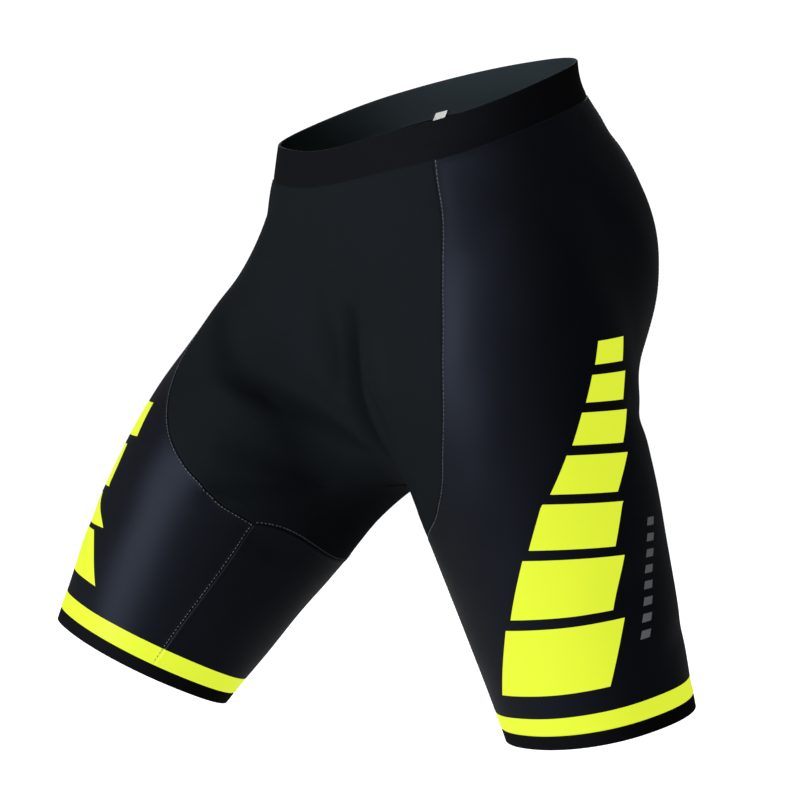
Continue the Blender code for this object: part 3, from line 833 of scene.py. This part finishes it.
def put(tree, node, inputs):
    """Gives a node's inputs their values, or links them from other nodes' sockets."""
    for name, value in dict(inputs).items():
        if isinstance(value, bpy.types.NodeSocket):
            tree.links.new(value, node.inputs[name])
        else:
            node.inputs[name].default_value = value
    return node


def add_node(tree, kind, inputs=(), **settings):
    """A shader node with its settings and inputs."""
    node = tree.nodes.new("ShaderNode" + kind)
    for name, value in settings.items():
        setattr(node, name, value)
    return put(tree, node, inputs)


def math(tree, operation, *values):
    """A Math node's result."""
    return add_node(tree, "Math", enumerate(values), operation=operation).outputs[0]


def noise(tree, place, scale, detail):
    """A Noise Texture's value at a place."""
    return add_node(tree, "TexNoise", {"Vector": place, "Scale": scale, "Detail": detail}).outputs["Fac"]


def mix_colour(tree, amount, first, second):
    """The first colour, turning into the second by an amount.

    A Mix node's colours are its seventh and eighth inputs and its third output.
    """
    return add_node(tree, "Mix", {0: amount, 6: first, 7: second}, data_type="RGBA").outputs[2]


def new_group(name, numbers, results):
    """A shader group that reads the cloth's UV map and some numbers, and the sockets of its two end nodes."""
    tree = bpy.data.node_groups.new(name, "ShaderNodeTree")
    sockets = [("Cloth", "INPUT", "NodeSocketVector")]
    sockets += [(number, "INPUT", "NodeSocketFloat") for number in numbers]
    sockets += [(result, "OUTPUT", "NodeSocketFloat") for result in results]
    for socket, way, kind in sockets:
        tree.interface.new_socket(socket, in_out=way, socket_type=kind)
    return tree, tree.nodes.new("NodeGroupInput").outputs, tree.nodes.new("NodeGroupOutput").inputs


@lru_cache(maxsize=None)
def knit_group():
    """Fine loops and a little yarn unevenness as a height, and a broad change of tone.

    The loops are the sine of the place across times the sine of the place along, in pitches.
    """
    tree, given, results = new_group("Stretch Knit", ("Pitch", "Tone Spread"), ("Height", "Tone"))
    place = add_node(tree, "SeparateXYZ", {0: given["Cloth"]}).outputs
    waves = [
        math(tree, "SINE", math(tree, "DIVIDE", math(tree, "MULTIPLY", place[axis], TURN), given["Pitch"]))
        for axis in "XY"
    ]
    yarn, broad = noise(tree, given["Cloth"], 900.0, 2.0), noise(tree, given["Cloth"], 16.0, 3.0)
    loops = math(tree, "MULTIPLY", math(tree, "MULTIPLY", *waves), 0.5)
    tree.links.new(math(tree, "ADD", loops, yarn), results["Height"])
    swing = math(tree, "MULTIPLY", math(tree, "SUBTRACT", broad, 0.5), given["Tone Spread"])
    tree.links.new(math(tree, "ADD", swing, 1.0), results["Tone"])
    return tree


@lru_cache(maxsize=None)
def bar_group():
    """Mask of a slanted bar: within its half width and half height, the width slid by the height."""
    tree, given, results = new_group(
        "Slanted Bar", ("Across", "Up", "Half Width", "Half Height", "Slant"), ("Mask",))
    place = add_node(tree, "SeparateXYZ", {0: given["Cloth"]}).outputs
    up = math(tree, "SUBTRACT", place["Y"], given["Up"])
    across = math(tree, "SUBTRACT", place["X"], given["Across"])
    across = math(tree, "SUBTRACT", across, math(tree, "MULTIPLY", up, given["Slant"]))
    inside = [
        math(tree, "LESS_THAN", math(tree, "ABSOLUTE", value), given[limit])
        for value, limit in ((across, "Half Width"), (up, "Half Height"))
    ]
    tree.links.new(math(tree, "MULTIPLY", *inside), results["Mask"])
    return tree


def new_material(name, colour, tone, inputs):
    """A material with its colour scaled by a tone, which a function makes in its tree, and other inputs; in the
    knits the tone holds painted shade in the creases.
    """
    material = bpy.data.materials.new(name)
    material.use_nodes = True
    tree = material.node_tree
    scaled = add_node(tree, "VectorMath", {0: (*colour,), "Scale": tone(tree)}, operation="SCALE").outputs[0]
    put(tree, tree.nodes["Principled BSDF"], {"Base Color": scaled, **inputs})
    return material


def plain_material(name, colour, roughness):
    """Thread or tape: its colour with a fine change of tone by place."""
    def tone(tree):
        grain = noise(tree, add_node(tree, "TexCoord").outputs["Object"], 700.0, 2.0)
        return math(tree, "ADD", math(tree, "MULTIPLY", grain, 0.5), 0.75)

    return new_material(name, colour, tone, {"Roughness": roughness, "Specular IOR Level": 0.4})


def cloth_material(name, colour, roughness, sheen, specular, pitch, bump, tone_spread):
    """A knit: its colour by a broad change of tone and painted shade by the creases' depth, a fine relief and a
    soft sheen.
    """
    def tone(tree):
        cloth = add_node(tree, "UVMap", uv_map="Cloth").outputs["UV"]
        given = {"Cloth": cloth, "Pitch": pitch, "Tone Spread": tone_spread}
        knit = add_node(tree, "Group", given, node_tree=knit_group()).outputs
        relief = add_node(tree, "Bump", {"Height": knit["Height"], "Distance": 0.0002, "Strength": bump})
        put(tree, tree.nodes["Principled BSDF"], {"Normal": relief.outputs[0]})
        # Painted shade: the colour is darkened by the creases' depth in their troughs, and lightened a little
        # on their ridges.
        crease = add_node(tree, "Attribute", attribute_name="crease").outputs["Fac"]
        shade = math(tree, "ADD", math(tree, "MULTIPLY", crease, CREASE_SHADE), 1.0)
        for operation, limit in zip(("MAXIMUM", "MINIMUM"), CREASE_SHADE_RANGE):
            shade = math(tree, operation, shade, limit)
        return math(tree, "MULTIPLY", knit["Tone"], shade)

    return new_material(name, colour, tone, {
        "Roughness": roughness, "Specular IOR Level": specular, "Specular Tint": COOL_TINT,
        "Sheen Weight": sheen, "Sheen Roughness": 0.35,
    })


def ladder_place(half, graphic, rise):
    """Place of the ladder's middle, forward of the side, at a rise above its foot."""
    return getattr(graphic, f"{half}_across") - getattr(graphic, f"{half}_lean") * rise


def bars(half, graphic):
    """The ladder of bars up the thigh, each smaller than the one below: place, width and height."""
    rise, placed = 0.0, []
    for step in range(getattr(graphic, f"{half}_bars")):
        size = graphic.bar_shrink**step
        height, width = graphic.bar_height * size, graphic.bar_width * size
        up = graphic.ladder_foot + rise + height / 2
        placed.append((ladder_place(half, graphic, rise), up, width, height))
        rise += height + graphic.bar_gap
    return placed


def dashes(half, graphic):
    """Small dashes in a line behind the bars: place, width and height."""
    behind = graphic.bar_width / 2 + DASH_BEHIND
    return [
        (ladder_place(half, graphic, rise) - behind, graphic.ladder_foot + rise, *DASH_SIZE)
        for rise in DASH_START + DASH_PITCH * np.arange(DASH_NUMBER)
    ]


def bar_mask(tree, cloth, places, slant):
    """Mask of all the bars at the given places."""
    mask = 0.0
    for across, up, width, height in places:
        bar = add_node(tree, "Group", {
            "Cloth": cloth, "Across": across, "Up": up, "Half Width": width / 2, "Half Height": height / 2,
            "Slant": slant,
        }, node_tree=bar_group())
        mask = math(tree, "MAXIMUM", mask, bar.outputs["Mask"])
    return mask


def leg_knit(half, fabric, graphic):
    """The leg panels' knit with its print: the hem stripe, a ladder of slanted bars and a row of dashes, the
    yellow glowing as painted light.
    """
    material = cloth_material(
        f"leg_knit_{half}", fabric.leg_colour, fabric.leg_roughness, fabric.leg_sheen,
        specular=0.17, pitch=0.0008, bump=0.25, tone_spread=0.25)
    tree = material.node_tree
    shader = tree.nodes["Principled BSDF"]
    cloth = next(n for n in tree.nodes if n.type == "UVMAP").outputs["UV"]
    base = shader.inputs["Base Color"].links[0].from_socket
    yellow = bar_mask(tree, cloth, bars(half, graphic), graphic.bar_slant)
    silver = bar_mask(tree, cloth, dashes(half, graphic), graphic.bar_slant)
    above = add_node(tree, "Attribute", attribute_name="above_hem").outputs["Fac"]
    stripe = math(tree, "LESS_THAN", above, HEM_BAND * MILLIMETRE + graphic.stripe_width)
    yellow = math(tree, "MAXIMUM", yellow, stripe)
    # Painted light: the yellow print glows by emission whatever the lamps, standing in for the fluorescent
    # ink's brightness; it reflects only a share of its colour.
    ink = (*(INK_SHARE * v for v in graphic.print_colour), 1)
    printed = mix_colour(tree, yellow, base, ink)
    put(tree, shader, {
        "Base Color": mix_colour(tree, silver, printed, (*graphic.dash_colour, 1)),
        "Emission Color": mix_colour(tree, yellow, (0, 0, 0, 1), (*graphic.print_colour, 1)),
        "Emission Strength": graphic.print_glow,
    })
    return material


@lru_cache(maxsize=None)
def matte_knit():
    """The front and back panels' knit."""
    fabric = bpy.context.scene.shorts.fabric
    return cloth_material(
        "matte_knit", fabric.front_colour, fabric.front_roughness,
        sheen=0.004, specular=0.03, pitch=0.001, bump=0.3, tone_spread=0.2)


def close_knit(name, colour, roughness):
    """A close knit, as in the bands and the waistband's inner side, which is painted lighter."""
    return cloth_material(
        name, colour, roughness, sheen=0.004, specular=0.03, pitch=0.0014, bump=0.4, tone_spread=0.15)


@lru_cache(maxsize=None)
def band_knit():
    """The knit of the waistband and the hem bands."""
    return close_knit("band_knit", bpy.context.scene.shorts.fabric.band_colour, 0.7)


def stitch_shape(width):
    """A stitch's points and triangles: an ellipsoid of rings.

    A ring lies at the cosine of its angle along the stitch, and is the sine of it wide.
    """
    along, turn = np.meshgrid(np.linspace(0, np.pi, 6)[1:-1], np.linspace(0, TURN, 7)[:-1], indexing="ij")
    across = np.sin(along) * np.cos(turn) * width / 2
    up = np.sin(along) * np.sin(turn) * width / STITCH_FLATNESS
    points = np.stack([np.cos(along), across, up], -1).reshape(-1, 3)
    points = np.concatenate([[[1, 0, 0]], points, [[-1, 0, 0]]])
    ring = 1 + np.arange(along.size).reshape(along.shape)
    ring = np.concatenate([ring, ring[:, :1]], axis=1)
    quads = np.stack([ring[:-1, :-1], ring[:-1, 1:], ring[1:, 1:], ring[1:, :-1]], -1).reshape(-1, 4)
    first = np.stack([np.zeros_like(ring[0, 1:]), ring[0, 1:], ring[0, :-1]], -1)
    last = np.stack([np.full_like(ring[0, 1:], along.size + 1), ring[-1, :-1], ring[-1, 1:]], -1)
    return points, np.concatenate([first, last, quads[:, [0, 1, 2]], quads[:, [0, 2, 3]]])


def stitches(name, line, offset, pitch, length, width, material, seed):
    """A row of stitches along a seam, laid on the cloth beside the seam's line."""
    line, normals = to_surface(line)
    run = np.append(0, np.cumsum(np.linalg.norm(np.diff(line, axis=0), axis=1)))
    count = int(run[-1] // pitch)
    rng = np.random.default_rng(seed)
    at = (np.arange(count) + 0.5) * pitch + rng.uniform(-0.12, 0.12, count) * pitch
    middle, normal, ahead = (
        np.stack([np.interp(at + shift, run, values[:, k]) for k in range(3)], -1)
        for values, shift in ((line, 0), (normals, 0), (line, 0.4))
    )
    along, normal = unit(ahead - middle), unit(normal)
    side = np.cross(normal, along)
    middle = middle + side * offset + normal * STITCH_LIFT
    middle = middle + normal * creased(middle)[:, None]
    half_length = length / 2 * rng.uniform(0.8, 1.1, count)
    shape, triangles = stitch_shape(width)
    points = middle[:, None] + shape @ np.stack([along * half_length[:, None], side, normal], 1)
    faces = (triangles[None] + (np.arange(count) * len(shape))[:, None, None]).reshape(-1, 3)
    return new_object(name, points.reshape(-1, 3), faces[:, ::-1], material)


def seam_line(half, which):
    """Points along a seam, from its top or from the inseam: the front, back, lower or inner seam."""
    front_seam, back_seam = hip_seams(half)
    if which in ("front", "back"):
        seam = front_seam if which == "front" else back_seam
        return stations(hip_rows(half)[0], seam[:, None])[:, 0]
    ring_points, ring_length, _ = ring_rows(half, ring_levels())
    if which == "inner":
        return stations(ring_points, np.zeros((len(ring_points), 1)))[:, 0]
    begin = back_seam[-1] - corner_length(half)
    return stations(ring_points[:1], np.linspace(begin, ring_length[0], LOWER_SEAM_POINTS)[None])[0]


def colour_setting(name, description, default):
    return FloatVectorProperty(
        name=name, description=description, subtype="COLOR", default=default, min=0, max=1)


def length_setting(name, description, default):
    return FloatProperty(name=name, description=description, default=default, unit="LENGTH")


def number_setting(name, description, default, most=1.0, least=0.0):
    return FloatProperty(name=name, description=description, default=default, min=least, max=most)


def count_setting(name, description, default):
    return IntProperty(name=name, description=description, default=default, min=0, max=12)


class ShortsFabric(bpy.types.PropertyGroup):
    """Colours and finish of the cloth."""

    front_colour: colour_setting("Front and back", "Colour of the matte panels", (0.0078, 0.0099, 0.0116))
    front_roughness: number_setting("Matte roughness", "Roughness of the matte panels", 0.75)
    leg_colour: colour_setting("Leg", "Colour of the leg panels", (0.0046, 0.0056, 0.0078))
    leg_roughness: number_setting("Leg roughness", "Roughness of the leg panels", 0.48)
    leg_sheen: number_setting("Leg sheen", "Sheen of the leg panels", 0.01)
    band_colour: colour_setting("Bands", "Colour of the waistband and hem bands", (0.0056, 0.0058, 0.0070))
    # Painted light: the waistband's inner side is painted lighter than the cloth outside, standing in for light
    # falling inside the waist.
    inner_side_painted_light_colour: colour_setting("Lining", "Colour of the waistband's inner side", (0.021, 0.028, 0.033))
    thread_colour: colour_setting("Thread", "Colour of the seams' thread", (0.13, 0.15, 0.16))
    tab_colour: colour_setting("Size tab", "Colour of the tab inside the waist", (0.85, 0.85, 0.83))


class ShortsPrint(bpy.types.PropertyGroup):
    """The print on the leg panels."""

    print_colour: colour_setting("Print", "Colour of the stripes and bars", (0.85, 1.0, 0.045))
    dash_colour: colour_setting("Dashes", "Colour of the small dashes", (0.42, 0.43, 0.45))
    # Painted light: the print's glow is given out whatever the lamps.
    print_glow: number_setting("Glow", "How much the fluorescent ink gives out of itself", 0.8, 2.0)
    stripe_width: length_setting("Hem stripe", "Width of the stripe above each hem band", 0.0125)
    bar_width: length_setting("Bar width", "Width of the lowest bar", 0.092)
    bar_height: length_setting("Bar height", "Height of the lowest bar", 0.046)
    bar_gap: length_setting("Bar gap", "Bare cloth between two bars", 0.007)
    bar_shrink: number_setting("Bar shrink", "Size of each bar over the one below", 0.84)
    bar_slant: number_setting("Bar slant", "How far a bar leans back for its height", -0.45, 2.0, -2.0)
    ladder_foot: length_setting("Ladder foot", "Height of the lowest bar above the hem", 0.042)
    left_bars: count_setting("Left bars", "How many bars the left leg has", 7)
    left_across: length_setting("Left place", "The left leg's lowest bar, forward of the side", 0.062)
    left_lean: number_setting("Left lean", "How far the left bars go back for their height", 0.34, 2.0, -2.0)
    right_bars: count_setting("Right bars", "How many bars the right leg has", 4)
    right_across: length_setting("Right place", "The right leg's lowest bar, forward of the side", 0.081)
    right_lean: number_setting("Right lean", "How far the right bars go back for their height", -0.1, 2.0, -2.0)


class ShortsSewing(bpy.types.PropertyGroup):
    """The seams."""

    stitch_pitch: length_setting("Stitch pitch", "Distance from one stitch to the next", 0.003)
    stitch_length: length_setting("Stitch length", "Length of a stitch", 0.0021)
    thread_width: length_setting("Thread width", "Width of a stitch", 0.0007)
    lip: length_setting("Seam lip", "How far the leg panels stand up beside a seam", 0.0004)


class ShortsSettings(bpy.types.PropertyGroup):
    """All of the shorts' settings."""

    fabric: PointerProperty(type=ShortsFabric)
    graphic: PointerProperty(type=ShortsPrint)
    sewing: PointerProperty(type=ShortsSewing)


def declare(node):
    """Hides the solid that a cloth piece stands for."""
    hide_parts(node)


class SHORTS_OT_waistband(bpy.types.Operator):
    """Build the waistband: a band folded at its upper edge over elastic"""

    bl_idname = "shorts.waistband"
    bl_label = "Waistband"

    def execute(self, context):
        profile = band_profile(BAND_WALL, WAISTBAND, WAISTBAND_STEP)
        share = np.linspace(0, 1, WAIST_COLUMNS)
        halves = []
        for half in LEGS:
            rows, _ = trunk_rows(half, profile[0])
            halves.append(stations(rows, run_along(rows)[:, -1:] * share))
        rows = np.concatenate([halves[0][:, :-1], halves[1][:, :0:-1]], axis=1)
        # The inner side's knit is painted lighter, standing in for light inside the waist.
        inner_side_knit = close_knit("inner_side_painted_light_knit", context.scene.shorts.fabric.inner_side_painted_light_colour, 0.8)
        piece = band("waistband_shell", rows, "left", profile, band_knit(), inner_side_knit)
        declare("waistband")
        return {"FINISHED"}


class SHORTS_OT_front_panels(bpy.types.Operator):
    """Build the two matte front panels"""

    bl_idname = "shorts.front_panels"
    bl_label = "Front Panels"

    def execute(self, context):
        for half in LEGS:
            piece = simple_panel(f"front_{half}_shell", half, True, matte_knit())
            declare(f"front_panel_{half}")
        return {"FINISHED"}


class SHORTS_OT_back_panels(bpy.types.Operator):
    """Build the two matte back panels"""

    bl_idname = "shorts.back_panels"
    bl_label = "Back Panels"

    def execute(self, context):
        for half in LEGS:
            piece = simple_panel(f"back_{half}_shell", half, False, matte_knit())
            declare(f"back_panel_{half}")
        return {"FINISHED"}


class SHORTS_OT_leg_panels(bpy.types.Operator):
    """Build the two leg panels with their print"""

    bl_idname = "shorts.leg_panels"
    bl_label = "Leg Panels"

    def execute(self, context):
        settings = context.scene.shorts
        for half in LEGS:
            knit = leg_knit(half, settings.fabric, settings.graphic)
            piece = leg_panel(f"leg_{half}_shell", half, settings.sewing.lip / MILLIMETRE, knit)
            declare(f"leg_panel_{half}")
        return {"FINISHED"}


class SHORTS_OT_hem_bands(bpy.types.Operator):
    """Build the band at each hem, folded at its lower edge"""

    bl_idname = "shorts.hem_bands"
    bl_label = "Hem Bands"

    def execute(self, context):
        profile = band_profile(HEM_WALL, HEM_BAND, HEM_BAND_STEP)
        share = np.linspace(0, 1, HEM_COLUMNS + 1)[:-1]
        for half, turned in (("left", "right"), ("right", "left")):
            rows, length, _ = ring_rows(half, HEM_LEVEL - profile[0])
            rows = stations(rows, length[:, None] * share)
            piece = band(f"hem_{half}_shell", rows, turned, profile, band_knit())
            declare(f"hem_band_{half}")
        return {"FINISHED"}


class SHORTS_OT_seam_stitches(bpy.types.Operator):
    """Sew the stitches along the seams"""

    bl_idname = "shorts.seam_stitches"
    bl_label = "Seam Stitches"

    def execute(self, context):
        settings = context.scene.shorts
        sewing = settings.sewing
        sizes = [v / MILLIMETRE for v in (sewing.stitch_pitch, sewing.stitch_length, sewing.thread_width)]
        thread = plain_material("light_thread", settings.fabric.thread_colour, 0.5)
        for half in LEGS:
            side = LEGS[half]["side"]
            for number, which in enumerate(("front", "back", "lower", "inner")):
                offset = STITCH_OFFSET * side * (1 if which != "back" else -1)
                piece = stitches(
                    f"{which}_stitches_{half}", seam_line(half, which), offset, *sizes, thread,
                    10 * number + side + 1)
        return {"FINISHED"}


class SHORTS_OT_size_tab(bpy.types.Operator):
    """Finish the small plain tab inside the waist"""

    bl_idname = "shorts.size_tab"
    bl_label = "Size Tab"

    def execute(self, context):
        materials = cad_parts["label"].data.materials
        materials.clear()
        materials.append(plain_material("tab_satin", context.scene.shorts.fabric.tab_colour, 0.45))
        return {"FINISHED"}


def aimed(name, data, place, aim):
    """An object with its data, at a place and turned to its aim."""
    thing = bpy.data.objects.new(name, data)
    thing.location = place
    thing.rotation_euler = (Vector(aim) - Vector(place)).to_track_quat("-Z", "Y").to_euler()
    bpy.context.scene.collection.objects.link(thing)
    return thing


class SHORTS_OT_stage(bpy.types.Operator):
    """Set up the plain floor, the soft light and the camera"""

    bl_idname = "shorts.stage"
    bl_label = "Stage"

    def execute(self, context):
        scene = context.scene
        scene.view_settings.view_transform = "Standard"
        mesh = bpy.data.meshes.new("floor")
        corners = [
            (x * FLOOR_REACH, y * FLOOR_REACH, FLOOR_LEVEL) for x, y in ((-1, -1), (1, -1), (1, 1), (-1, 1))]
        mesh.from_pydata(corners, [], [(0, 1, 2, 3)])
        floor = bpy.data.objects.new("floor", mesh)
        scene.collection.objects.link(floor)
        pale = bpy.data.materials.new("pale_floor")
        pale.use_nodes = True
        tree = pale.node_tree
        put(tree, tree.nodes["Principled BSDF"], {
            "Base Color": (0.6, 0.6, 0.6, 1), "Roughness": 0.9, "Emission Color": (1, 1, 1, 1),
            "Emission Strength": add_node(tree, "LightPath").outputs["Is Camera Ray"],
        })
        mesh.materials.append(pale)
        scene.world = bpy.data.worlds.new("studio")
        scene.world.use_nodes = True
        tree = scene.world.node_tree
        seen = add_node(tree, "LightPath").outputs["Is Camera Ray"]
        strength = math(tree, "ADD", seen, AMBIENT)
        put(tree, tree.nodes["Background"], {"Color": (1, 1, 1, 1), "Strength": strength})
        for name, place, size, power in LAMPS:
            light = bpy.data.lights.new(name, "AREA")
            light.size, light.energy = size, power
            aimed(name, light, place, AIM)
        spot = bpy.data.lights.new("waist", "SPOT")
        spot.energy, spot.spot_size, spot.spot_blend, spot.shadow_soft_size = 48.0, np.radians(11), 0.7, 0.15
        aimed("waist", spot, (1.55, -1.2, 0.9), (-0.03, 0.03, -0.01))
        camera = bpy.data.cameras.new("camera")
        camera.lens, camera.sensor_width = CAMERA_LENS, 36.0
        level = np.cos(CAMERA_RISE)
        back = np.array([np.sin(CAMERA_TURN) * level, -np.cos(CAMERA_TURN) * level, np.sin(CAMERA_RISE)])
        scene.camera = aimed("camera", camera, AIM + back * CAMERA_DISTANCE, AIM)
        return {"FINISHED"}


class SHORTS_PT_panel(bpy.types.Panel):
    """Lists the pieces and their settings."""

    bl_idname = "SHORTS_PT_panel"
    bl_label = "Cycling Shorts"
    bl_space_type = "VIEW_3D"
    bl_region_type = "UI"
    bl_category = "Shorts"

    def draw(self, context):
        settings = context.scene.shorts
        for group in (settings.fabric, settings.graphic, settings.sewing):
            box = self.layout.box()
            for name in group.__annotations__:
                box.prop(group, name)
        for operator in OPERATORS:
            self.layout.operator(operator.bl_idname)


OPERATORS = (
    SHORTS_OT_waistband, SHORTS_OT_front_panels, SHORTS_OT_back_panels, SHORTS_OT_leg_panels,
    SHORTS_OT_hem_bands, SHORTS_OT_seam_stitches, SHORTS_OT_size_tab, SHORTS_OT_stage,
)
CLASSES = (ShortsFabric, ShortsPrint, ShortsSewing, ShortsSettings, *OPERATORS, SHORTS_PT_panel)


def register():
    for cls in CLASSES:
        bpy.utils.register_class(cls)
    bpy.types.Scene.shorts = PointerProperty(type=ShortsSettings)


def unregister():
    del bpy.types.Scene.shorts
    for cls in reversed(CLASSES):
        bpy.utils.unregister_class(cls)


def main():
    register()
    bpy.ops.shorts.waistband()
    bpy.ops.shorts.front_panels()
    bpy.ops.shorts.back_panels()
    bpy.ops.shorts.leg_panels()
    bpy.ops.shorts.hem_bands()
    bpy.ops.shorts.seam_stitches()
    bpy.ops.shorts.size_tab()
    bpy.ops.shorts.stage()
    bpy.context.view_layer.update()


if __name__ == "__main__":
    main()
